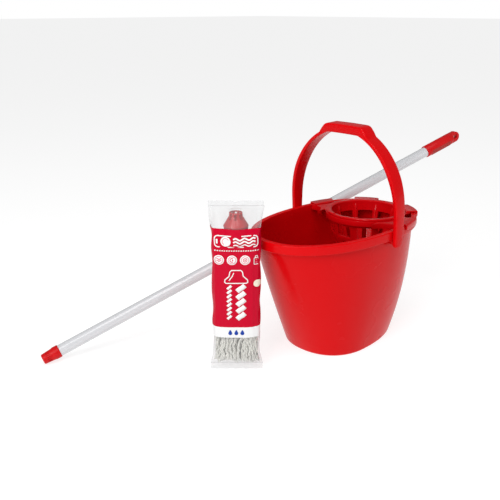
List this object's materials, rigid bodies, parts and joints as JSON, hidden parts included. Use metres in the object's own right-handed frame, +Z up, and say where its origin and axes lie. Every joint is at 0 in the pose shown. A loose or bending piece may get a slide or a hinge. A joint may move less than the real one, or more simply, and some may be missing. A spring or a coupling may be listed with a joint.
{
  "type": "mop and bucket with wringer",
  "caption": "Oval mop bucket with a swinging bail handle and lift-out cup wringer, a threaded pole with cap and grip, and a cotton mop head packed in a clear bag.",
  "frame": {"origin": "on the floor under the middle of the bucket's rim, in the plane of the bucket's foot", "axes": "+Z up, +X toward the bucket's wringer end, +Y toward the side that the pole leans on"},
  "size_m": [0.9358, 0.4312, 0.4259],
  "materials": {
    "bucket_plastic": "glossy red moulded plastic",
    "wringer_plastic": "glossy red moulded plastic",
    "pole_coating": "white gloss coating on a steel tube",
    "grip_plastic": "satin red moulded plastic",
    "grip_rubber": "matt dull red",
    "thread_plastic": "satin",
    "socket_plastic": "glossy red moulded plastic",
    "cotton_yarn": "twisted undyed cotton cord",
    "clear_film": "clear glossy film",
    "label_print": "printed, under gloss film",
    "label_white": "printed, under gloss film",
    "sticker_paper": "paper"
  },
  "bodies": {
    "bucket": {"bucket_shell": "bucket_plastic"},
    "bail": {"bail_handle": "bucket_plastic"},
    "wringer": {"wringer_plate": "wringer_plastic", "wringer_cup": "wringer_plastic", "side_hooks": "wringer_plastic", "end_hooks": "wringer_plastic"},
    "pole": {"pole_tube": "pole_coating", "pole_grip": "grip_plastic", "grip_pad": "grip_rubber", "pole_thread": "thread_plastic"},
    "cap": {"thread_cap": "grip_plastic"},
    "pack": {"mop_socket": "socket_plastic", "yarn_plug": "socket_plastic", "yarn_crown": "cotton_yarn", "yarn_bundle_1": "cotton_yarn", "yarn_bundle_2": "cotton_yarn", "yarn_bundle_3": "cotton_yarn", "yarn_bundle_4": "cotton_yarn", "bag_film": "clear_film", "bag_foot_seal": "clear_film", "bag_top_seal": "clear_film", "label_sleeve": "label_print", "label_band": "label_white", "round_sticker": "sticker_paper"}
  },
  "joints": [
    {"name": "bail_swing", "type": "hinge", "parent": "bucket", "child": "bail", "pos_m": [0.028, 0, 0.227], "axis": [0, 1, 0], "range_deg": [-68, 1.3]},
    {"name": "wringer_lift", "type": "slide", "parent": "bucket", "child": "wringer", "axis": [0, 0, 1], "range_m": [0, 0.11]},
    {"name": "pole_lift", "type": "slide", "parent": "bucket", "child": "pole", "axis": [0.2354, 0.7846, 0.5736], "range_m": [0, 0.12]},
    {"name": "thread_cap_turn", "type": "hinge", "parent": "pole", "child": "cap", "pos_m": [-0.47829, 0.29487, 0.0102], "axis": [0.9033, -0.271, 0.3325], "continuous": true},
    {"name": "pack_lift", "type": "slide", "parent": "bucket", "child": "pack", "axis": [0, 0, 1], "range_m": [0, 0.15]}
  ]
}
